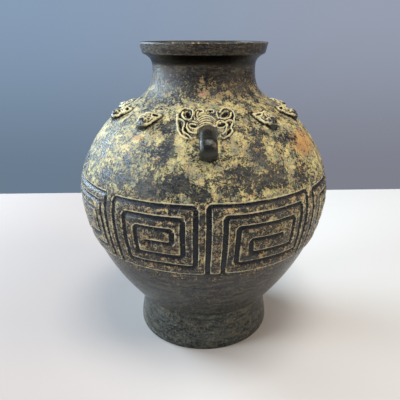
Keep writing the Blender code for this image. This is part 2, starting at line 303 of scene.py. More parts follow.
def bridgeRings(shape, isRing):
    # Faces close the gap between the two open rings whose points pass the test.
    drawn = bmesh.new()
    drawn.from_mesh(shape.data)
    edges = [e for e in drawn.edges if e.is_boundary and all(isRing(v.co) for v in e.verts)]
    points = {v for e in edges for v in e.verts}
    first = min(points, key=lambda v: v.index)
    ring, grown = {first}, [first]
    while grown:
        here = grown.pop()
        for edge in here.link_edges:
            other = edge.other_vert(here)
            if edge.is_boundary and other in points and other not in ring:
                ring.add(other)
                grown.append(other)
    turned = []
    for loop in (ring, points - ring):
        turned.append(sorted(((np.arctan2(v.co.x, -v.co.y), v) for v in loop), key=lambda p: p[0]))
    one, two = ([(a, v) for a, v in r] + [(r[0][0] + 2 * pi, r[0][1])] for r in turned)
    i = k = 0
    while i < len(one) - 1 or k < len(two) - 1:
        if k == len(two) - 1 or (i < len(one) - 1 and one[i + 1][0] <= two[k + 1][0]):
            drawn.faces.new((one[i][1], one[i + 1][1], two[k][1]))
            i += 1
        else:
            drawn.faces.new((one[i][1], two[k + 1][1], two[k][1]))
            k += 1
    drawn.to_mesh(shape.data)
    drawn.free()


def resample(low, high, step, lowGap=0.0, highGap=0.0):
    # Points at even lengths along the outline between two heights, past a gap at either end.
    first, last = float(alongAt(low)) + lowGap, float(alongAt(high)) - highGap
    lengths = np.linspace(first, last, max(2, int(round((last - first) / step)) + 1))
    return [(float(np.interp(s, slopeAlong, outline[:, 0])), float(heightAlong(s))) for s in lengths]


rings = {
    # rings near the outline's corners, in millimetres out and up from each
    "footEdge": ((-0.9, 0.0), (-0.2, 0.3)),
    "footTop": ((0.05, -1.2), (0.5, -0.35), (1.8, 0.0)),
    "bellyStart": ((-0.7, 0.1), (0.3, 0.5)),
    "lipFoot": ((0.15, 0.5), (0.4, 1.5), (0.9, 3.6), (1.5, 6.0), (2.1, 8.4)),
    "lipEdge": ((-0.15, -1.5), (-0.35, -0.6), (-1.1, -0.1), (-2.0, 0.0), (-3.6, 0.0)),
    # gaps between the others
    "footGap": 3.2, "bellyGap": 3.9, "shoulderGap": 2.6, "neckGap": 2.4, "lipGap": 0.9,
    "bellyEnd": 127.5, "neckStart": 0.300,
}


def makeSkin():
    j, r = jar, rings
    rows = bandRows()
    lipFoot = (j["lipRadius"] - j["lipTaper"], j["height"] - j["lipFace"])
    foot = offsets((j["footRadius"], 0.0), r["footEdge"])
    foot += resample(1.2 * mm, j["footHeight"] - 2.2 * mm, r["footGap"] * mm)
    foot += offsets((j["footTop"], j["footHeight"]), r["footTop"])
    foot += offsets((j["bellyStart"], j["footHeight"]), r["bellyStart"])
    foot += resample(j["footHeight"] + 1.6 * mm, r["bellyEnd"] * mm, r["bellyGap"] * mm)
    band = [(float(radiusAt(z)), float(z)) for z in rows]
    neckGap = r["neckGap"] * mm
    upper = resample(rows[-1], r["neckStart"], r["shoulderGap"] * mm, neckGap)
    upper += resample(r["neckStart"], lipFoot[1], neckGap, neckGap, r["lipGap"] * mm)
    upper += offsets(lipFoot, r["lipFoot"]) + offsets((j["lipRadius"], j["height"]), r["lipEdge"])
    half = len(columns) // 2
    parts = [
        spinOutline("footSkin", foot, half),
        spinOutline("bandSkin", band, len(columns)),
        spinOutline("shoulderSkin", upper, half),
    ]
    pickOnly(*parts)
    bpy.ops.object.join()
    skin = bpy.context.object
    skin.name = "bronzeJar"
    for level in (rows[0] - 1 * mm, rows[-1] + 1 * mm):
        bridgeRings(skin, lambda p: abs(p.z - level) < 2.2 * mm)
    return skin


def places(shape):
    found = np.empty(len(shape.data.vertices) * 3)
    shape.data.vertices.foreach_get("co", found)
    return found.reshape(-1, 3)


def setPlaces(shape, found):
    shape.data.vertices.foreach_set("co", found.ravel())
    shape.data.update()


def angleOf(found):
    return np.degrees(np.arctan2(found[:, 0], -found[:, 1]))


def moveColumns(shape):
    # The evenly spun columns move to the angles that the grooves want.
    found = places(shape)
    even = np.linspace(0, 360, len(columns) + 1)
    wanted = np.append(columns, columns[0] + 360)
    angle = np.radians(np.interp(angleOf(found) % 360, even, wanted))
    radius = np.hypot(found[:, 0], found[:, 1])
    found[:, 0], found[:, 1] = radius * np.sin(angle), -radius * np.cos(angle)
    setPlaces(shape, found)


skin = makeSkin()
moveColumns(skin)
print("skin turned:", len(skin.data.polygons), "faces")


# Finer faces where a mask or a small head will stand

ornaments = {
    "mask": {
        "angles": (0.0, 180.0), "height": 0.2665, "half": (30.5, 22.0), "middle": 6.5,
        "reach": (36, 34), "reachMiddle": 4, "cutsSeen": 3, "cutsBehind": 2,
    },
    "head": {
        "angles": (39.6, 71.0, 107.0, 144.0, 216.0, 253.0, 288.0, 321.6), "height": 0.2690,
        "half": (12.6, 13.0), "middle": 0.0, "reach": (18, 18), "reachMiddle": 0, "cutsSeen": 3, "cutsBehind": 2,
    },
}


def localPlace(found, angle, height):
    # Millimetres across and up the slope from a place on the skin.
    turn = (angleOf(found) - angle + 180) % 360 - 180
    across = np.radians(turn) * np.hypot(found[:, 0], found[:, 1]) / mm
    slope = (alongAt(found[:, 2]) - alongAt(height)) / mm
    return across, slope, np.abs(turn) < 60


def refine(shape, angle, kind):
    across, slope, near = localPlace(places(shape), angle, kind["height"])
    inside = near & (np.abs(across) < kind["half"][0]) & (np.abs(slope - kind["middle"]) < kind["half"][1])
    pickOnly(shape)
    bpy.ops.object.mode_set(mode="EDIT")
    bpy.ops.mesh.select_mode(type="FACE")
    bpy.ops.mesh.select_all(action="DESELECT")
    drawn = bmesh.from_edit_mesh(shape.data)
    for face in drawn.faces:
        face.select_set(any(inside[v.index] for v in face.verts))
    bmesh.update_edit_mesh(shape.data)
    cuts = kind["cutsSeen" if angle < 90 or angle > 270 else "cutsBehind"]
    bpy.ops.mesh.subdivide(number_cuts=cuts, quadcorner="INNERVERT")
    bpy.ops.object.mode_set(mode="OBJECT")


def backToOutline(shape):
    # Points made by subdividing lie on chords, so they go back to the turned outline.
    found = places(shape)
    angle = np.radians(angleOf(found))
    z = found[:, 2]
    turned = (z > 0.6 * mm) & (z < jar["height"] - jar["lipFace"])
    radius = np.where(turned & (z > 0.2), radiusAt(z), np.hypot(found[:, 0], found[:, 1]))
    found[:, 0], found[:, 1] = radius * np.sin(angle), -radius * np.cos(angle)
    setPlaces(shape, found)


for kind in ornaments.values():
    for angle in kind["angles"]:
        refine(skin, angle, kind)
backToOutline(skin)
print("windows refined:", len(skin.data.polygons), "faces")


# Relief: every point of the skin moves along the outline's normal by a height in millimetres


def lineDistance(x, y, points):
    # Distance from points to a line of straight pieces.
    best = np.full(x.shape, 1e9)
    for (ax, ay), (bx, by) in zip(points, points[1:]):
        dx, dy = bx - ax, by - ay
        share = np.clip(((x - ax) * dx + (y - ay) * dy) / (dx * dx + dy * dy + 1e-12), 0, 1)
        best = np.minimum(best, np.hypot(x - ax - share * dx, y - ay - share * dy))
    return best


def ridge(x, y, points, half, height):
    return height * np.clip(1 - (lineDistance(x, y, points) / half) ** 2, 0, 1) ** 1.3


def turnedPlace(x, y, centre, turn):
    a = radians(turn)
    x, y = x - centre[0], y - centre[1]
    return x * cos(a) + y * sin(a), y * cos(a) - x * sin(a)


def mound(x, y, centre, size, height, turn=0.0, power=1.2):
    # A raised oval.
    u, v = turnedPlace(x, y, centre, turn)
    u, v = u / size[0], v / size[1]
    return height * np.clip(1 - u * u - v * v, 0, 1) ** power


def rim(x, y, centre, size, half, height, turn=0.0):
    # A raised ring on an ellipse.
    u, v = turnedPlace(x, y, centre, turn)
    off = (np.hypot(u / size[0], v / size[1]) - 1) * (size[0] + size[1]) / 2
    return height * np.clip(1 - (off / half) ** 2, 0, 1) ** 1.3


def rounded(points, steps=4):
    # A smooth line through the points.
    p = [np.array(q, float) for q in points]
    p = [2 * p[0] - p[1]] + p + [2 * p[-1] - p[-2]]
    found = []
    for a, b, c, d in zip(p, p[1:], p[2:], p[3:]):
        bend, twist = 2 * a - 5 * b + 4 * c - d, 3 * b - a - 3 * c + d
        for t in np.arange(steps) / steps:
            found.append(0.5 * (2 * b + (c - a) * t + bend * t**2 + twist * t**3))
    return [tuple(q) for q in found] + [tuple(p[-2])]


def inPolygon(x, y, corners):
    inside = np.zeros(x.shape, bool)
    for (ax, ay), (bx, by) in zip(corners, corners[1:] + corners[:1]):
        crosses = (ay > y) != (by > y)
        inside ^= crosses & (x < (bx - ax) * (y - ay) / (by - ay + 1e-12) + ax)
    return inside


def waver(values, size, seed):
    # Smooth unevenness between -1 and 1 over rows of coordinates.
    offset = Vector((seed * 7.31, seed * 3.17, seed * 1.73))
    return np.array([noise.noise(Vector(v) / size + offset) for v in values])


def grooveRelief(angle, z):
    # Depth share, edge wear and closeness of the meander's grooves, on canonical angle and millimetres.
    run = meander["wallRun"]
    least, aside, above = meander["wear"]
    perDegree = radians(1) * meander["radius"]
    offset = np.full(angle.shape, 1e9)
    lift = np.zeros(angle.shape)
    for index in range(8):
        left, right = meander["edges"][index], meander["edges"][index + 1]
        near = np.abs((angle - (left + right) / 2 + 180) % 360 - 180) < (right - left) / 2 + 3
        turned = (angle[near] - left + 180) % 360 - 180 + left
        x, y = turned * perDegree, z[near]
        for path in map(softCorner, panelPaths(index)):
            for (a1, z1), (a2, z2) in zip(path, path[1:]):
                ax, bx = a1 * perDegree, a2 * perDegree
                dx, dy = bx - ax, z2 - z1
                share = np.clip(((x - ax) * dx + (y - z1) * dy) / (dx * dx + dy * dy), 0, 1)
                offX, offY = x - ax - share * dx, y - z1 - share * dy
                reach = np.hypot(offX, offY)
                upright = abs(dy) / (abs(dx) + abs(dy))
                half = (meander["uprightGroove"] * upright + meander["levelGroove"] * (1 - upright)) / 2
                closer = reach - half < offset[near]
                place = np.flatnonzero(near)[closer]
                offset[place] = (reach - half)[closer]
                side = least + aside * np.abs(offX) / (reach + 1e-9) + above * np.clip(offY / (reach + 1e-9), 0, 1)
                lift[place] = np.clip(side, 0, 1)[closer]
    depth = 1 - ease(-run, run, offset)
    edge = np.exp(-(((offset - run * meander["wearAt"]) / meander["wearWidth"]) ** 2)) * lift
    return depth, edge, offset


def panelShift(angle, z):
    # How far a level groove stands above its canonical place, in millimetres.
    shift = np.zeros(angle.shape)
    total = np.zeros(angle.shape)
    order = np.argsort(meander["levels"])
    levels = np.array(meander["levels"])[order]
    low, high = meander["shiftReach"]
    heights = np.concatenate(([low], levels, [high]))
    for index in range(8):
        left, right = meander["edges"][index], meander["edges"][index + 1]
        own = meander["closedLevels"] if index % 2 == 1 else meander["openLevels"]
        extra = meander["shift"][0] * sin(index * meander["shift"][1])
        turn = (angle - (left + right) / 2 + 180) % 360 - 180
        weight = ease(0, 2.4, (right - left) / 2 + 1.2 - np.abs(turn)) + 1e-6
        steps = np.concatenate(([0], (np.array(own)[order] - levels) + extra, [0]))
        shift += weight * np.interp(z, heights, steps)
        total += weight
    return shift / total


def carveBand(angle, z, wobble):
    depth, edge, offset = grooveRelief(angle, z)
    inBand = ease(128.5, 131.5, z) * (z < 211)
    depth *= ease(130.0, 132.2, z)
    height = -meander["depth"] * depth
    height -= meander["edgeDrop"] * np.exp(-((offset - meander["wallRun"]) / meander["dropWidth"]) ** 2) * inBand
    height += 0.25 * wobble * inBand
    footLine = np.exp(-(((z - meander["footLine"]) / 0.9) ** 2)) * (offset > 0.6)
    edge = np.maximum(edge * ease(131.5, 133.0, z) * (z < 211), footLine)
    return height, depth * inBand, edge


# Beast mask round each lug, in millimetres across and up the slope

mask = {
    "plate": [
        (-29.3, 6), (-28.8, 17), (-26.5, 22.5), (-20, 27), (-14, 25), (-9, 25.5), (-4, 26), (1, 24.5), (6, 25.5),
        (12, 24), (17, 27.4), (23, 25), (27.5, 20), (28, 13), (26.5, 7), (26, 1), (24.5, -6), (20.5, -11.5),
        (14, -14), (9, -11), (-9, -11), (-14, -14), (-20.5, -13.5), (-26, -9.5), (-29, -3),
    ],
    "plateRise": 0.9,
    "ridges": [
        # (points, half width, height)
        ([(-25.7, 20.3), (-22.7, 24.0), (-19.1, 25.4), (-15.5, 24.5), (-13.2, 22.2), (-12.9, 17.5),
          (-14.2, 12.7)], 1.35, 1.7),
        ([(-22.5, 19.4), (-23.2, 15.6), (-21.5, 11.3), (-19.0, 9.2), (-15.6, 9.4),
          (-14.6, 11.0)], 1.5, 1.9),
        ([(-28.8, 17.5), (-28.4, 10.7), (-28.7, 5.8), (-27.9, 1.0), (-27.4, -3.8), (-25.7, -8.0),
          (-23.0, -11.2), (-18.6, -13.2)], 1.1, 1.1),
        ([(-26.1, 10.7), (-23.6, 8.8), (-21.7, 6.8), (-21.3, 2.9), (-22.5, -1.0), (-22.9, -4.7),
          (-21.1, -7.2), (-18.7, -8.7), (-16.6, -10.9), (-15.0, -13.4)], 1.05, 1.5),
        ([(-18.3, 4.6), (-19.0, 0.0), (-17.9, -3.6), (-15.7, -6.0), (-12.3, -7.2),
          (-9.6, -6.7)], 1.05, 1.5),
        ([(-17.6, 8.0), (-14.7, 7.4), (-11.6, 7.2), (-8.6, 4.6)], 1.0, 1.3),
        ([(-11.5, 21.0), (-12.2, 14.6), (-11.2, 9.7)], 0.9, 1.0),
        ([(-8.8, 20.2), (-9.2, 15.0), (-7.6, 10.2)], 0.8, 0.8),
        ([(12.4, 19.6), (14.0, 23.6), (17.8, 25.8), (22.3, 24.0), (25.9, 19.6), (26.6, 13.6),
          (25.7, 9.4), (25.8, 4.9)], 1.35, 1.7),
        ([(23.4, 18.6), (22.8, 14.6), (21.2, 11.7), (18.0, 10.3), (15.0, 10.3), (11.1, 11.7)], 1.5, 1.9),
        ([(17.4, 6.8), (20.6, 8.6), (23.6, 7.6), (24.4, 4.9), (22.8, 1.0), (21.9, -1.9), (22.9, -5.5),
          (21.0, -8.8), (18.1, -11.2), (14.6, -13.2)], 1.1, 1.5),
        ([(19.0, 3.0), (17.6, -1.4), (16.6, -5.4), (13.6, -8.2)], 1.0, 1.3),
        ([(8.6, 5.6), (11.5, 8.2), (14.7, 7.6), (17.6, 4.6)], 1.0, 1.3),
        ([(9.0, 21.0), (9.6, 15.6), (10.6, 10.7)], 0.9, 1.0),
        ([(-10.2, 22.4), (-8.4, 24.6), (-5.4, 24.8), (-3.2, 22.8), (-3.4, 19.6), (-5.8, 18.6)], 1.0, 1.2),
        ([(-0.6, 21.4), (1.0, 23.8), (4.4, 24.4), (6.8, 22.4), (6.4, 19.4), (4.0, 18.4)], 1.0, 1.2),
    ],
    "hollows": [
        # (centre, size, depth, turn)
        ((-17.6, 16.6), (2.9, 5.2), 1.5, 12), ((-25.6, 14.5), (1.3, 5.5), 0.9, 0),
        ((17.2, 17.0), (3.2, 4.6), 1.5, -38),
        ((-12.8, 1.2), (3.0, 2.0), 1.0, -24), ((13.0, 2.6), (3.6, 2.5), 1.1, 16),
        ((-6.4, 21.4), (1.5, 1.6), 0.9, 0), ((3.2, 21.2), (1.5, 1.5), 0.9, 0),
        ((-25.0, 2.0), (1.5, 6.0), 0.8, 8), ((-19.6, -4.6), (1.4, 4.4), 0.8, 20),
        ((20.6, 4.0), (1.7, 3.0), 0.8, 10), ((19.6, -6.0), (1.4, 3.4), 0.7, -24),
    ],
    "eyeRims": [((-12.8, 1.2), (4.3, 3.1), 0.8, 0.9, -24), ((13.0, 2.6), (4.9, 3.6), 0.8, 0.9, 16)],
    # five wrinkles: how wide, how low and from which angle each arc runs, and what the next one adds
    "wrinkles": 5, "wrinkleArc": ((8.4, 0.75), (7.2, 2.9), (26, 5)), "wrinkleMiddle": (-0.7, -4.4),
    "wrinkleHalf": 0.95, "wrinkleRise": 1.0, "wornRise": 1.4,
    "muzzle": ((0.0, -9.0), (12.5, 12.0), 0.5), "brow": ((0.0, 14.0), (14.0, 12.0), 1.2), "thin": 0.84,
    "rootAt": (0.0, -8.0), "rootSize": (9.0, 9.0),
}


def maskRelief(x, y):
    # Height, painted shade in its hollows, no rubbed places and inside of one mask.
    edge = lineDistance(x, y, mask["plate"] + mask["plate"][:1])
    signed = np.where(inPolygon(x, y, mask["plate"]), edge, -edge)
    height = mask["plateRise"] * ease(-0.9, 0.9, signed)
    height += mound(x, y, *mask["muzzle"]) + mound(x, y, *mask["brow"])
    raised = np.zeros(x.shape)
    for points, half, rise in mask["ridges"]:
        raised = np.maximum(raised, ridge(x, y, rounded(points), half * mask["thin"], rise))
    for ring in mask["eyeRims"]:
        raised = np.maximum(raised, rim(x, y, *ring))
    cx, cy = mask["wrinkleMiddle"]
    for number in range(mask["wrinkles"]):
        across, down, turn = (base + growth * number for base, growth in mask["wrinkleArc"])
        turns = np.linspace(radians(turn), radians(180 - turn), 15)
        arc = [(cx + across * cos(t), cy + down * sin(t)) for t in turns]
        raised = np.maximum(raised, ridge(x, y, arc, mask["wrinkleHalf"], mask["wrinkleRise"]))
    dark = np.zeros(x.shape)
    # each hollow sinks, and painted shade darkens it
    for centre, size, depth, turn in mask["hollows"]:
        pit = mound(x, y, centre, size, 1.0, turn, 0.8)
        height -= depth * pit
        dark = np.maximum(dark, pit)
    worn = np.clip(raised / mask["wornRise"], 0, 1)
    (cx, cy), (halfX, halfY) = mask["rootAt"], mask["rootSize"]
    clear = ease(1.0, 1.3, np.hypot((x - cx) / halfX, (y - cy) / halfY))
    return (height + raised) * clear, dark * (1 - worn) * clear, np.zeros(x.shape), ease(-1.5, 0.5, signed)


# Small beast heads, looking down the slope

head = {
    "outline": [
        (-11.6, 4.6), (-11.4, 8.8), (-7.4, 11.6), (-3.2, 9.8), (0.0, 9.2), (3.2, 9.8), (7.4, 11.6), (11.4, 8.8),
        (11.6, 4.6), (10.0, -1.6), (7.6, -6.6), (4.4, -10.8), (0.0, -12.2), (-4.4, -10.8), (-7.6, -6.6),
        (-10.0, -1.6),
    ],
    "plateRise": 0.9, "skull": ((0.0, -1.0), (11.6, 12.6), 3.0, 0.0, 0.6),
    "snout": ((0.0, -6.8), (6.6, 6.4), 3.0, 0.0, 0.7),
    # how far, how closely and how differently from its neighbours a head wavers, across and up
    "waver": ((0.5, 0.35, 1.0), (0.4, 0.4, 1.7)),
    # rims as (half width, height)
    "earAt": (6.7, 6.6), "earSize": (4.2, 2.7), "earRim": (1.0, 1.2), "earPit": (3.2, 1.8), "earTurn": 26,
    "eyeAt": (4.6, -0.6), "eyeSize": (2.5, 1.7), "eyeRim": (0.8, 0.8), "eyePit": (1.7, 1.1), "eyeTurn": -22,
    # (points of one half, half width, height)
    "ridges": [
        ([(1.0, 7.6), (1.3, 2.6), (2.4, -3.2), (3.6, -6.4)], 0.95, 0.9),
        ([(2.6, 3.4), (5.8, 3.0), (9.2, 0.8)], 0.9, 0.8), ([(0.4, -5.6), (2.6, -8.0), (4.4, -8.6)], 0.8, 0.7),
        ([(8.6, -2.8), (6.2, -6.8), (3.2, -10.0)], 0.8, 0.7),
    ],
    "nostrilAt": (1.7, -9.3), "nostrilSize": (1.1, 0.9),
    "rubAt": (0.0, -8.6), "rubReach": (7.4, 4.2), "rubShare": 0.9, "moat": 1.6,
}


def headRelief(x, y, number):
    # Height, painted shade in its pits and round its outline, rubbed snout and inside of one small head.
    (swayX, waveX, turnX), (swayY, waveY, turnY) = head["waver"]
    x = x * (1.0 if number % 2 else -1.0) + swayX * np.sin(y * waveX + number * turnX)
    y = y + swayY * np.sin(x * waveY + number * turnY)
    plate = rounded(head["outline"] + head["outline"][:1])
    edge = lineDistance(x, y, plate)
    signed = np.where(inPolygon(x, y, plate), edge, -edge)
    height = head["plateRise"] * ease(-0.7, 0.7, signed) + mound(x, y, *head["skull"]) + mound(x, y, *head["snout"])
    raised = 0.8 * np.clip(1 - ((signed - 0.9) / 1.1) ** 2, 0, 1) ** 1.3
    dark = np.zeros(x.shape)
    for half in (-1, 1):
        earAt, eyeAt, nostrilAt = ((half * head[name][0], head[name][1]) for name in ("earAt", "eyeAt", "nostrilAt"))
        earTurn, eyeTurn = -half * head["earTurn"], -half * head["eyeTurn"]
        raised = np.maximum(raised, rim(x, y, earAt, head["earSize"], *head["earRim"], earTurn))
        raised = np.maximum(raised, rim(x, y, eyeAt, head["eyeSize"], *head["eyeRim"], eyeTurn))
        for points, width, rise in head["ridges"]:
            line = rounded([(half * px, py) for px, py in points])
            raised = np.maximum(raised, ridge(x, y, line, width, rise))
        # ears, eyes and nostrils sink, and painted shade darkens them
        ear = mound(x, y, earAt, head["earPit"], 1.0, earTurn, 0.8)
        eye = mound(x, y, eyeAt, head["eyePit"], 1.0, eyeTurn, 0.8)
        nostril = mound(x, y, nostrilAt, head["nostrilSize"], 1.0)
        height -= 0.9 * ear + 0.6 * eye + 0.5 * nostril
        dark = np.maximum.reduce((dark, ear * 0.8, eye, nostril))
    rub = head["rubShare"] * ease(*head["rubReach"], np.hypot(x - head["rubAt"][0], y - head["rubAt"][1]))
    worn = np.clip(raised, 0, 1)
    # painted shadow round the outside of the head's outline
    dark = np.maximum(dark, 0.8 * np.exp(-(((signed + 0.9) / head["moat"]) ** 2)) * (signed < 0.4))
    rise = height + raised
    return rise, dark * (1 - worn), rub * (1 - 0.6 * worn), ease(0.0, 1.5, rise)


casting = {
    # the whole wall's unevenness, as (grain in metres, seed) and millimetres
    "fineGrain": (0.016, 3), "broadGrain": (0.050, 5), "fineRise": 0.10, "broadRise": 0.15, "broadMiddle": 0.8,
    # painted shadow under the lip and on its face, a painted highlight with wear on the rim's pale edge, the neck's
    # calmer wall, the band's sway, and how deep a mask's crease is for full painted shade
    "underLip": 0.82, "lipFace": 0.36, "rimEdge": 0.38, "neckCalm": 0.6, "sway": 0.0060, "cavity": 0.30,
}


def carve(shape):
    found, cast = places(shape), casting
    angle, z = angleOf(found), found[:, 2] / mm
    radius = np.hypot(found[:, 0], found[:, 1])
    fine, broad = waver(found, *cast["fineGrain"]), waver(found, *cast["broadGrain"])
    height = cast["fineRise"] * fine + cast["broadRise"] * (broad - cast["broadMiddle"])
    notes = {name: np.zeros(len(found)) for name in ("groove", "edge", "paintedShade", "rub", "mask")}

    def raiseNote(name, values, where=slice(None)):
        notes[name][where] = np.maximum(notes[name][where], values)

    low, high = meander["reach"]
    band = (z > low) & (z < high)
    cut, notes["groove"][band], notes["edge"][band] = carveBand(angle[band], z[band], fine[band])
    height[band] += cut
    for name, kind in ornaments.items():
        for number, place in enumerate(kind["angles"]):
            x, y, near = localPlace(found, place, kind["height"])
            near &= (np.abs(x) < kind["reach"][0]) & (np.abs(y - kind["reachMiddle"]) < kind["reach"][1])
            x, y = x[near], y[near]
            rise, dark, rub, inside = maskRelief(x, y) if name == "mask" else headRelief(x, y, number)
            height[near] += rise
            raiseNote("paintedShade", dark, near)
            raiseNote("rub", rub, near)
            raiseNote("mask", inside, near)
    lipFoot = (jar["height"] - jar["lipFace"]) / mm
    # painted shadow under the lip, and painted shade on the lip's lower face
    shadow = ease(lipFoot - 16, lipFoot - 5, z) * ease(lipFoot + 1.0, lipFoot - 0.5, z)
    raiseNote("paintedShade", cast["underLip"] * shadow)
    raiseNote("paintedShade", cast["lipFace"] * ease(lipFoot, lipFoot + 1.5, z) * ease(337.5, 335.5, z))
    # painted highlight, with wear, along the rim's top edge
    raiseNote("edge", cast["rimEdge"] * ease(337.8, 339.2, z))
    calm = ease(0, 5, z) * ease(340, 333, z)
    height *= np.where(z < 300, calm, calm * cast["neckCalm"])
    out, up = normalAt(found[:, 2])
    radius = radius + height * mm * out
    lifted = z + height * up
    lifted += np.where(band, panelShift(angle, z), 0) * (z > low)
    sway = cast["sway"] * ease(128, 140, z) * ease(high, 205, z)
    lifted += 140 * sway * waver(np.stack((angle * 2.0, z * 0.8, z * 0), 1), 24.0, 13) * band
    turned = np.radians(angle) + sway * waver(np.stack((angle * 0.9, z, z * 0), 1), 26.0, 9)
    shaped = np.stack((radius * np.sin(turned), -radius * np.cos(turned), lifted * mm), 1)
    setPlaces(shape, shaped)
    # how far the masks' creases lie below their surroundings: the finish paints shade in them and highlights on the
    # ridges
    sharp = blurred(shape, height, 7) - blurred(shape, height, 1)
    notes["cavity"] = np.clip(sharp / cast["cavity"], -1, 1) * notes["mask"]
    return notes


def blurred(shape, values, rounds):
    # Each value moves towards its neighbours' mean, as often as asked.
    ends = np.empty(len(shape.data.edges) * 2, int)
    shape.data.edges.foreach_get("vertices", ends)
    ends = ends.reshape(-1, 2)
    count = np.bincount(ends.ravel(), minlength=len(values)) + 1
    for step in range(rounds):
        total = values + np.bincount(ends[:, 0], values[ends[:, 1]], len(values))
        values = (total + np.bincount(ends[:, 1], values[ends[:, 0]], len(values))) / count
    return values


def keepNotes(shape, notes):
    for name, values in notes.items():
        made = shape.data.attributes.get(name) or shape.data.attributes.new(name, "FLOAT", "POINT")
        made.data.foreach_set("value", np.asarray(values, np.float32))


def readNote(shape, name):
    found = np.empty(len(shape.data.vertices), np.float32)
    shape.data.attributes[name].data.foreach_get("value", found)
    return found


keepNotes(skin, carve(skin))
print("relief carved")


# Inner wall, floor and foot ring, joined to the skin at the rim and at the ground


inner = {
    "steps": 96, "rows": (0.056, 0.300, 28),
    # millimetres out and up from the floor's middle, the throat, the mouth and the foot's inner face
    "floor": ((0, 0.0), (30, 0.0), (60, 0.0), (74.5, 0.3), (78.8, 1.7)),
    "throat": ((0.6, -8.0), (0.0, 0.0), (0.2, 6.0), (2.2, 12.0)),
    "mouth": ((-2.6, -7.5), (-0.6, -2.8), (0.0, -1.0), (0.5, -0.2)),
    "foot": ((0.9, 0.0), (0.2, 0.3), (-0.2, 1.5)),
    "footRows": (0.012, 0.024, 0.036, 0.042),
    "under": ((70.5, -0.7), (68.0, 0.0), (45.0, 0.0), (22.0, 0.0), (0.0, 0.0)),
}


def makeInside():
    j = jar
    wall = offsets((0.0, j["floorTop"]), inner["floor"])
    for z in np.linspace(*inner["rows"]):
        out, up = normalAt(z)
        depth = j["wall"] + j["relief"] * float(ease(0.128, 0.138, z) * ease(0.212, 0.204, z))
        wall.append((float(radiusAt(z) - depth * out), float(z - depth * up)))
    wall += offsets((j["neckRadius"] - j["wall"], j["neckHeight"]), inner["throat"])
    wall += offsets((j["lipRadius"] - j["lipWall"], j["height"]), inner["mouth"])
    under = offsets((j["footRadius"] - j["footWall"], 0.0), inner["foot"])
    under += [(float(radiusAt(z)) - j["footWall"], z) for z in inner["footRows"]]
    under += offsets((0.0, j["floorUnder"]), inner["under"])
    return [spinOutline("innerWall", wall, inner["steps"]), spinOutline("footHollow", under, inner["steps"])]


pickOnly(skin, *makeInside())
bpy.ops.object.join()
bridgeRings(skin, lambda p: p.z > jar["height"] - 1.5 * mm)
bridgeRings(skin, lambda p: p.z < 0.2 * mm)
faceOutward(skin)
print("inner wall joined")


# Lug: a round bar bent out of the mask's muzzle and back into the shoulder

lug = {
    "angles": (0.0, 180.0), "top": 0.2597, "rise": 0.0026, "bend": 0.0070, "bendStart": 0.1188, "rootIn": 0.0880,
    "width": 0.0160, "thickness": 0.0084, "sides": 28, "legSteps": 10, "bendSteps": 14,
    "swell": 0.5, "swellReach": 0.012,
    "lowest": 0.230, "highest": 0.280, "sunk": 0.0017, "coreRows": 24, "coreSteps": 96,
}
lugReach = lug["bendStart"] - lug["rootIn"]
lugLean = 2 * float(np.arctan(lug["rise"] / lugReach))
legBend = lugReach / sin(lugLean) + lug["bend"]
legCentre = lug["top"] + lug["rise"] - legBend


def legPlace(found):
    # How far points lie off the upper leg's middle line, and how much thicker the leg is there.
    out, up = np.abs(found[:, 1]) - lug["rootIn"], found[:, 2] - legCentre
    inLeg = (np.arctan2(out, up) < lugLean) & (found[:, 2] > lug["top"] - lug["bend"])
    swell = 1 + lug["swell"] * ease(lugReach, lugReach - lug["swellReach"], out)
    return inLeg, np.hypot(out, up) - legBend, swell


def makeBar():
    clearSelection()
    bpy.ops.mesh.primitive_circle_add(
        vertices=lug["sides"], radius=0.5, fill_type="NGON", rotation=(pi / 2, 0, 0),
        location=(0, -lug["rootIn"], lug["top"] + lug["rise"]),
    )
    bar = bpy.context.object
    bar.name = "lugBar"
    bar.scale = (lug["width"], lug["thickness"], 1)
    bpy.ops.object.transform_apply(location=True, rotation=True, scale=True)
    bpy.ops.object.mode_set(mode="EDIT")
    bpy.ops.mesh.select_all(action="SELECT")
    for steps, angle, centre in (
        (lug["legSteps"], lugLean, (0, -lug["rootIn"], legCentre)),
        (lug["bendSteps"], pi - lugLean, (0, -lug["bendStart"], lug["top"] - lug["bend"])),
    ):
        bpy.ops.mesh.spin(steps=steps, angle=angle, center=centre, axis=(-1, 0, 0))
    for step in range(2):
        bpy.ops.mesh.extrude_region_move(TRANSFORM_OT_translate={"value": (0, 4 * mm, 0)})
    bpy.ops.object.mode_set(mode="OBJECT")
    faceOutward(bar)
    found = places(bar)
    inLeg, off, swell = legPlace(found)
    found[:, 2] += np.where(inLeg, off * (swell - 1), 0)
    setPlaces(bar, found)
    return bar


def makeCore():
    # A turned plug that ends inside the jar's wall, to trim the bar's two ends with.
    points = [(0.0, lug["lowest"])]
    for z in np.linspace(lug["lowest"], lug["highest"], lug["coreRows"]):
        out, up = normalAt(z)
        points.append((float(radiusAt(z) - lug["sunk"] * out), float(z - lug["sunk"] * up)))
    points.append((0.0, points[-1][1]))
    core = spinOutline("lugCore", points, lug["coreSteps"])
    faceOutward(core)
    return core


def lugSpread(found):
    # How far points are from the lugs' middle line, where 1 is a bar's own surface.
    across, out = np.abs(found[:, 0]), np.abs(found[:, 1])
    middle = lug["top"] - lug["bend"]
    inLeg, off, swell = legPlace(found)
    straight = np.abs(found[:, 2] - middle + lug["bend"])
    bent = np.abs(np.hypot(out - lug["bendStart"], found[:, 2] - middle) - lug["bend"])
    away = np.where((out < lug["bendStart"]) & (found[:, 2] < middle), straight, bent)
    away = np.where(inLeg, np.abs(off) / swell, away)
    spread = np.hypot(across / lug["width"] * 2, away / lug["thickness"] * 2)
    return np.where(out > lug["rootIn"], spread, 9.0)


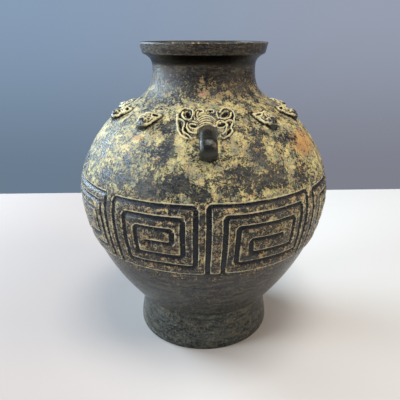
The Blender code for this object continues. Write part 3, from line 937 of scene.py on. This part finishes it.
def combine(body, part, operation):
    # The part is joined to the body or taken from it, and is gone.
    pickOnly(body)
    made = body.modifiers.new("combine", "BOOLEAN")
    made.operation, made.solver, made.object = operation, "EXACT", part
    bpy.ops.object.modifier_apply(modifier=made.name)
    bpy.data.objects.remove(part)


firstBar = makeBar()
combine(firstBar, makeCore(), "DIFFERENCE")
for angle in lug["angles"]:
    bar = bpy.data.objects.new("lugBar", firstBar.data.copy())
    bpy.context.collection.objects.link(bar)
    bar.data.transform(Matrix.Rotation(radians(angle), 4, "Z"))
    combine(skin, bar, "UNION")
bpy.data.objects.remove(firstBar)
pickOnly(skin)
bpy.ops.object.shade_smooth()
print("lugs cast on:", len(skin.data.polygons), "faces")


# Where the patina lies: soft fields kept on the points, which the finish breaks up with its own grain

patina = {
    # heights in millimetres and how much crust they carry
    "crustHeights": (0, 40, 122, 131, 140, 203, 210, 235, 280, 292, 306, 318, 340),
    "crustShare": (0.04, 0.06, 0.18, 0.30, 0.33, 0.39, 0.48, 0.51, 0.49, 0.42, 0.22, 0.06, 0.10),
    "brownHeights": (0, 60, 128, 136, 204, 210, 285, 305, 318, 340),
    "brownShare": (0.15, 0.30, 0.45, 0.60, 0.55, 0.15, 0.25, 0.60, 0.85, 0.85),
    "patchGain": (1.3, 0.75),  # of dark patches and of thick crust
    # (angle, height, half across, half up the slope, strength): dark bare bronze below nought, thick crust above
    "patches": [
        (-12, 224, 11, 8, -0.27), (-48, 219, 9, 8, -0.24), (-37, 221, 9, 8, -0.24), (-23, 217, 12, 9, -0.22),
        (-38, 237, 7, 6, -0.24), (-19, 249, 8, 13, -0.26), (-30, 247, 9, 7, -0.14), (-3, 215, 9, 7, -0.24),
        (12, 232, 10, 7, -0.22), (0, 240, 7, 5, 0.16), (27, 226, 15, 11, -0.20), (23, 247, 8, 10, -0.16),
        (43, 222, 9, 11, -0.17),
        (45, 253, 14, 5, -0.17), (-22, 266, 9, 9, -0.20), (12, 219, 12, 6, -0.10), (30, 257, 7, 9, -0.16),
        (-13, 250, 7, 22, 0.22), (-3, 236, 8, 8, 0.22), (-28, 262, 12, 20, 0.08), (-44, 250, 16, 20, 0.04),
        (14, 258, 12, 14, 0.06), (31, 250, 7, 13, 0.18), (38, 231, 7, 12, 0.28), (21, 252, 6, 8, 0.10),
        (3, 282, 26, 8, 0.06), (50, 263, 14, 10, 0.16), (58, 245, 22, 16, 0.14), (24, 209, 44, 4, 0.14),
        (9, 265, 10, 14, 0.09), (-20, 208, 40, 2.5, 0.06), (-60, 232, 16, 18, -0.05),
        (104, 226, 14, 10, -0.24), (121, 250, 12, 12, 0.14), (136, 219, 13, 8, -0.24), (155, 244, 11, 16, -0.18),
        (171, 225, 16, 9, -0.26), (182, 238, 9, 9, 0.18), (199, 252, 9, 14, -0.20), (214, 222, 15, 10, -0.26),
        (231, 243, 12, 13, 0.14), (249, 224, 12, 10, -0.22), (268, 249, 13, 11, 0.12), (285, 221, 13, 9, -0.24),
        (88, 244, 12, 14, 0.12), (300, 246, 9, 10, -0.12), (62, 224, 13, 14, 0.14), (-42, 284, 22, 12, -0.07),
    ],
    # (angle, height, half across, half up the slope, strength) of orange earth
    "rust": [
        (58, 246, 30, 17, 0.85), (-37, 256, 9, 3, 0.95), (46, 226, 12, 12, 0.45), (75, 232, 16, 14, 0.55),
        (-14, 213, 11, 4, 0.5), (40, 207, 10, 3, 0.7), (-24, 209, 12, 2.5, 0.6), (152, 236, 13, 9, 0.5),
        (238, 229, 16, 9, 0.5), (12, 325, 16, 7, 0.45), (-2, 334, 14, 5, 0.5), (200, 330, 14, 6, 0.4),
    ],
    "copper": (-2.0, 293.5, 5.0, 3.4),
    # how squarely and how fast a patch fades, and how its place wavers: millimetres or degrees, grain, seed
    "fade": (1.7, 0.75), "slopeWaver": (4.0, 0.018, 21), "angleWaver": (1.6, 0.014, 27),
}


def patch(angle, slope, place):
    turn = (angle - place[0] + 180) % 360 - 180
    across = np.radians(turn) * radiusAt(place[1] * mm) / mm / place[2]
    up = (slope - alongAt(place[1] * mm) / mm) / place[3]
    power, speed = patina["fade"]
    return np.exp(-((across**2 + up**2) ** power) * speed)


def patinaNotes(shape):
    found = places(shape)
    angle, z = angleOf(found), found[:, 2] / mm
    slope = alongAt(found[:, 2]) / mm
    (far, *grain), (turn, *turnGrain) = patina["slopeWaver"], patina["angleWaver"]
    slope = slope + far * waver(found, *grain)
    angle = angle + turn * waver(found, *turnGrain)
    crust = np.interp(z, patina["crustHeights"], patina["crustShare"])
    rust = np.zeros(len(found))
    for place in patina["patches"]:
        crust += patina["patchGain"][int(place[4] > 0)] * place[4] * patch(angle, slope, place)
    for place in patina["rust"]:
        rust = np.maximum(rust, place[4] * patch(angle, slope, place))
    depth = radiusAt(found[:, 2]) - np.hypot(found[:, 0], found[:, 1])
    within = ease(2.6 * mm, 3.2 * mm, depth) * (z > 20)
    within = np.maximum(within, (z < jar["floorTop"] / mm + 1) * (depth > 4.2 * mm))
    within *= (z < 338.5)
    rub = np.maximum(readNote(shape, "rub"), ease(1.16, 1.04, lugSpread(found)))
    brown = np.interp(z, patina["brownHeights"], patina["brownShare"])
    copper = patch(angle, slope, patina["copper"])
    return {"crust": crust, "rust": rust, "brown": brown, "copper": copper, "within": within, "rub": rub}


keepNotes(skin, patinaNotes(skin))


# Finish


class Value:
    # A node's output that takes part in sums.
    def __init__(self, tree, socket):
        self.tree, self.socket = tree, socket

    def sum(self, operation, other, swapped=False):
        made = self.tree.nodes.new("ShaderNodeMath")
        made.operation = operation
        for place, part in zip((1, 0) if swapped else (0, 1), (self, other)):
            if isinstance(part, Value):
                self.tree.links.new(part.socket, made.inputs[place])
            else:
                made.inputs[place].default_value = part
        return Value(self.tree, made.outputs[0])

    def __add__(self, other):
        return self.sum("ADD", other)

    def __sub__(self, other):
        return self.sum("SUBTRACT", other)

    def __rsub__(self, other):
        return self.sum("SUBTRACT", other, True)

    def __mul__(self, other):
        return self.sum("MULTIPLY", other)

    __radd__, __rmul__ = __add__, __mul__


class Finish:
    def __init__(self, name):
        self.material = bpy.data.materials.new(name)
        self.material.use_nodes = True
        self.tree = self.material.node_tree
        self.shader = self.tree.nodes["Principled BSDF"]

    def node(self, kind, settings, values, output=0):
        made = self.tree.nodes.new("ShaderNode" + kind)
        for key, setting in settings.items():
            if key == "stops":
                self.setStops(made.color_ramp, setting)
            else:
                setattr(made, key, setting)
        for key, value in values.items():
            self.feed(made.inputs[key], value)
        return Value(self.tree, made.outputs[output])

    def setStops(self, ramp, stops):
        for number, (place, colour) in enumerate(stops):
            stop = ramp.elements[number] if number < 2 else ramp.elements.new(place)
            stop.position, stop.color = place, colour

    def feed(self, socket, value):
        if isinstance(value, Value):
            self.tree.links.new(value.socket, socket)
        else:
            socket.default_value = value

    def feedAll(self, values):
        for name, value in values.items():
            self.feed(self.shader.inputs[name], value)

    def note(self, name):
        return self.node("Attribute", {"attribute_name": name}, {}, "Fac")

    def grain(self, place, scale, detail=3.0, rough=0.55, twist=0.0):
        values = {"Vector": place, "Scale": scale, "Detail": detail, "Roughness": rough, "Distortion": twist}
        return self.node("TexNoise", {}, values, "Fac")

    def between(self, value, low, high):
        settings = {"interpolation_type": "SMOOTHSTEP"}
        return self.node("MapRange", settings, {"Value": value, "From Min": low, "From Max": high})

    def blend(self, first, second, share):
        settings = {"data_type": "RGBA"}
        return self.node("Mix", settings, {0: share, 6: first, 7: second}, 2)

    def along(self, axis, low, high):
        # Climbs from 0 to 1 between two places on an axis of the object.
        place = self.node("TexCoord", {}, {}, "Object")
        return self.between(self.node("SeparateXYZ", {}, {"Vector": place}, axis), low, high)


def paint(red, green, blue):
    # A screen colour, 0 to 255, as linear light.
    return tuple(((c / 255 + 0.055) / 1.055) ** 2.4 for c in (red, green, blue)) + (1.0,)


tones = {
    "slate": (88, 99, 97), "ink": (44, 50, 57), "black": (9, 10, 11), "brown": (42, 29, 19), "violet": (84, 64, 62),
    "green": (110, 120, 110), "ochre": (208, 156, 104), "tan": (172, 146, 112), "rust": (184, 124, 58),
    "groove": (29, 35, 43), "edge": (238, 226, 184), "paintedShade": (17, 17, 15), "rubbed": (62, 64, 62),
    "rubbedBrown": (74, 68, 58), "dust": (112, 103, 82), "fleck": (158, 136, 100), "copper": (196, 148, 122),
    "inside": (34, 31, 27),
}
bronze = {
    # how the crust's colour climbs as it thickens
    "crustStops": {
        0.30: (30, 34, 33), 0.45: (84, 86, 68), 0.59: (146, 140, 100), 0.75: (200, 187, 124), 0.92: (224, 213, 154),
    },
    "rubbedRough": 0.24, "bareRough": 0.25, "crustRough": 0.54, "metal": 0.30, "rubbedMetal": 0.45, "gloss": 0.30,
    "shadeMetal": 0.7, "bump": (0.8, 0.0012),
    # scale, detail, roughness and distortion of each noise
    "grains": {
        "broad": (38, 3), "mid": (110, 4, 0.6, 0.6), "fine": (380, 4, 0.7, 0.5), "dust": (720, 3, 0.65),
        "spots": (210, 2, 0.5, 0.3), "tint": (75, 3, 0.6), "lace": (150, 3, 0.6, 1.2),
    },
    # noises that lie flat, because the upright scale is larger
    "flat": (1.0, 1.0, 4.5), "flatGrains": {"streak": (60, 4, 0.65, 0.4), "scratch": (240, 4, 0.7)},
}


def bronzeFinish():
    made, b = Finish("patinatedBronze"), bronze
    place = made.node("TexCoord", {}, {}, "Object")
    flat = made.node("Mapping", {}, {"Vector": place, "Scale": b["flat"]})
    broad, mid, fine, dust, spots, tint, lace = (made.grain(place, *values) for values in b["grains"].values())
    streak, scratch = (made.grain(flat, *values) for values in b["flatGrains"].values())
    midOff, fineOff, dustOff, spotsOff = mid - 0.5, fine - 0.5, dust - 0.5, spots - 0.5
    crust, rust, brown, copper, within = map(made.note, ("crust", "rust", "brown", "copper", "within"))
    groove, edge, cavity, face, paintedShade, rub = map(made.note, ("groove", "edge", "cavity", "mask", "paintedShade", "rub"))
    between = made.between

    def coat(under, tone, share):
        return made.blend(under, paint(*tones[tone]), share)

    pale = between(broad * 0.2 + fine * 0.5 + streak * 0.3, 0.41, 0.59) * (1 - brown * 0.75)
    bare = coat(paint(*tones["black"]), "slate", pale * 0.85 + 0.12)
    bare = coat(bare, "ink", between(crust, 0.06, 0.16) * 0.6)
    bare = coat(bare, "brown", brown * between(mid * 0.4 + scratch * 0.6, 0.42, 0.56))
    bare = coat(bare, "violet", between(scratch * 0.6 + fine * 0.4, 0.50, 0.60) * (0.2 + brown * 0.6))
    bare = coat(bare, "dust", between(streak * 0.5 + scratch * 0.5, 0.48, 0.61) * 0.6)
    bare = coat(bare, "fleck", between(dust * 0.5 + fine * 0.5, 0.54, 0.64) * (0.45 + brown * 0.12))

    vein = between(lace, 0.450, 0.492) * between(lace, 0.550, 0.508)
    uneven = midOff * 1.2 + spotsOff * 0.3 + fineOff * 1.6 + dustOff * 1.5 + vein * 0.14
    clump = between(crust + midOff * 0.8 + spotsOff * 0.4, 0.33, 0.51) - 0.58
    grown = crust + uneven * between(crust, -0.07, 0.34) + clump * between(crust, 0.10, 0.30) * 0.11
    grown = grown - groove * 0.30 - rub * 0.8 - face * 0.04 - cavity * 0.38
    cover = between(grown, 0.36, 0.50)
    stops = [(thick, paint(*tone)) for thick, tone in b["crustStops"].items()]
    colour = made.node("ValToRGB", {"stops": stops}, {"Fac": grown})
    colour = coat(colour, "green", between(tint, 0.46, 0.60) * 0.6)
    colour = coat(colour, "ochre", between(spots, 0.52, 0.64) * (0.20 + brown * 0.7))
    colour = coat(colour, "tan", between(fine * 0.4 + dust * 0.6, 0.46, 0.58) * brown)
    colour = coat(colour, "rust", between(rust + midOff * 1.2 + fineOff * 1.4, 0.42, 0.86) * 0.65)
    colour = made.blend(bare, colour, cover)
    # painted shade in the meander's grooves
    colour = coat(colour, "groove", between(groove * (1 - cover * 0.3), 0.25, 0.95) * 0.86)
    # pale worn edges of the grooves and the band's foot, and the painted highlight along the rim
    line = between(edge + fineOff + midOff * 0.8, 0.40, 0.68)
    colour = coat(colour, "edge", line * 0.9)
    # painted shade: in pits, in the masks' creases, round the heads, under the lip and on its lower face
    shadeShare = between(paintedShade + cavity * 0.7 + fineOff * 0.5, 0.22, 0.80)
    colour = coat(colour, "paintedShade", shadeShare * 0.88)
    # painted highlight on the masks' ridges, broken by grain
    lit = between(face * 0.2 - cavity * 1.1 + fineOff * 1.6 + dustOff * 1.2, 0.42, 0.95)
    colour = coat(colour, "edge", lit * face * 0.58)
    worn = between(rub + midOff * 0.4 + fineOff * 0.5, 0.30, 0.62)
    colour = made.blend(colour, coat(paint(*tones["rubbed"]), "rubbedBrown", between(scratch, 0.48, 0.66)), worn)
    colour = coat(colour, "copper", between(copper + fineOff * 0.9, 0.45, 0.85) * 0.85)
    colour = coat(colour, "inside", within)

    rough = b["bareRough"] + fineOff * 0.3 + cover * (b["crustRough"] - b["bareRough"])
    rough = rough - worn * (b["bareRough"] - b["rubbedRough"]) - brown * (1 - cover) * 0.08
    # painted shade also turns metallic, so its dark colour keeps its reflections dim
    metal = (1 - cover) * (1 - line) * b["metal"] + worn * b["rubbedMetal"] + shadeShare * (1 - worn) * b["shadeMetal"]
    grit = cover * 0.5 + fine * (0.6 + cover * 0.6) + mid * 0.5 + dust * 0.35 + scratch * 0.3
    strength, distance = b["bump"]
    height = grit * (1 - worn * 0.4)
    bump = made.node("Bump", {}, {"Strength": strength, "Distance": distance, "Height": height})
    made.feedAll({
        "Base Color": colour, "Roughness": rough, "Metallic": metal, "Specular IOR Level": b["gloss"], "Normal": bump,
    })
    return made.material


skin.data.materials.clear()
skin.data.materials.append(bronzeFinish())
print("bronze finished")


# Stage

# the floor is painted darker and warmer on the left, as painted shade that evens out the bluish window lamp falling
# there
floorPlate = {"size": (3.2, 2.2), "back": 0.46, "left": (0.435, 0.38, 0.352, 1.0), "right": (0.65, 0.63, 0.605, 1.0)}


def makePlane(name, size, place, tilt=0.0):
    clearSelection()
    bpy.ops.mesh.primitive_plane_add(size=1, location=place, rotation=(tilt, 0, 0))
    plane = bpy.context.object
    plane.name = name
    plane.scale = (*size, 1)
    return plane


floor = makePlane("floor", floorPlate["size"], (0, floorPlate["back"] - floorPlate["size"][1] / 2, 0))
cloth = Finish("paleFloor")
shade = cloth.blend(floorPlate["left"], floorPlate["right"], cloth.along("X", -0.08, 0.08))
cloth.feedAll({"Base Color": shade, "Roughness": 0.9})
floor.data.materials.append(cloth.material)

view = {
    "focal": 426.45, "picture": 400, "sensor": 36,
    "pitch": 21.305, "away": 0.48716, "height": 0.34764, "azimuth": -2.0, "axisShift": 3.74,
}

bpy.ops.object.camera_add()
camera = bpy.context.object
camera.data.sensor_width = view["sensor"]
camera.data.lens = view["focal"] / view["picture"] * view["sensor"]
camera.data.clip_start = 0.01
camera.data.shift_x = -view["axisShift"] / view["picture"]
turn = radians(view["azimuth"])
camera.location = (view["away"] * sin(turn), -view["away"] * cos(turn), view["height"])
camera.rotation_euler = (radians(90 - view["pitch"]), 0, turn)
bpy.context.scene.camera = camera
bpy.context.scene.view_settings.view_transform = "Standard"

lampAim = 0.18
lamps = {
    # place, energy, size, colour
    "window": ((-2.1, -0.45, 0.8), 41.0, 0.8, (0.82, 0.91, 1.0)),
    "sky": ((0.2, -0.45, 2.35), 36.0, 0.9, (1.0, 0.98, 0.95)),
    "warm": ((2.0, -0.7, 1.5), 29.0, 0.9, (1.0, 0.85, 0.68)),
    "rim": ((-1.5, 0.95, 0.85), 60.0, 0.9, (0.66, 0.84, 1.0)),
}
for name, (place, energy, size, colour) in lamps.items():
    bpy.ops.object.light_add(type="AREA", location=place)
    lamp = bpy.context.object
    lamp.name = name
    lamp.data.energy, lamp.data.size, lamp.data.color = energy, size, colour
    lamp.rotation_euler = (Vector((0, 0, lampAim)) - lamp.location).to_track_quat("-Z", "Y").to_euler()

# a glowing wall, painted darker towards the bottom and the left, as painted light and shade falling across it
backdrop = {
    "low": (paint(106, 124, 143), paint(126, 128, 140)), "high": (paint(136, 157, 182), paint(151, 159, 176)),
    "size": (3.4, 2.6), "place": (0, 1.45, 0.2),
    "room": (0.50, 0.56, 0.66, 1.0), "strength": 0.20,
}
wall = makePlane("backdrop", backdrop["size"], backdrop["place"], pi / 2)
glowPanel = Finish("glowingBackdrop")
across, upward = glowPanel.along("X", -0.22, 0.22), glowPanel.along("Y", -0.20, 0.12)
glow = glowPanel.blend(glowPanel.blend(*backdrop["low"], across), glowPanel.blend(*backdrop["high"], across), upward)
glowPanel.feedAll({
    "Emission Color": glow, "Emission Strength": 1.0, "Base Color": (0, 0, 0, 1), "Roughness": 1.0,
    "Specular IOR Level": 0.0,
})
wall.data.materials.append(glowPanel.material)

world = bpy.data.worlds.new("studio")
world.use_nodes = True
world.node_tree.nodes["Background"].inputs["Color"].default_value = backdrop["room"]
world.node_tree.nodes["Background"].inputs["Strength"].default_value = backdrop["strength"]
bpy.context.scene.world = world

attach(skin, "root")
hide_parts("vase")
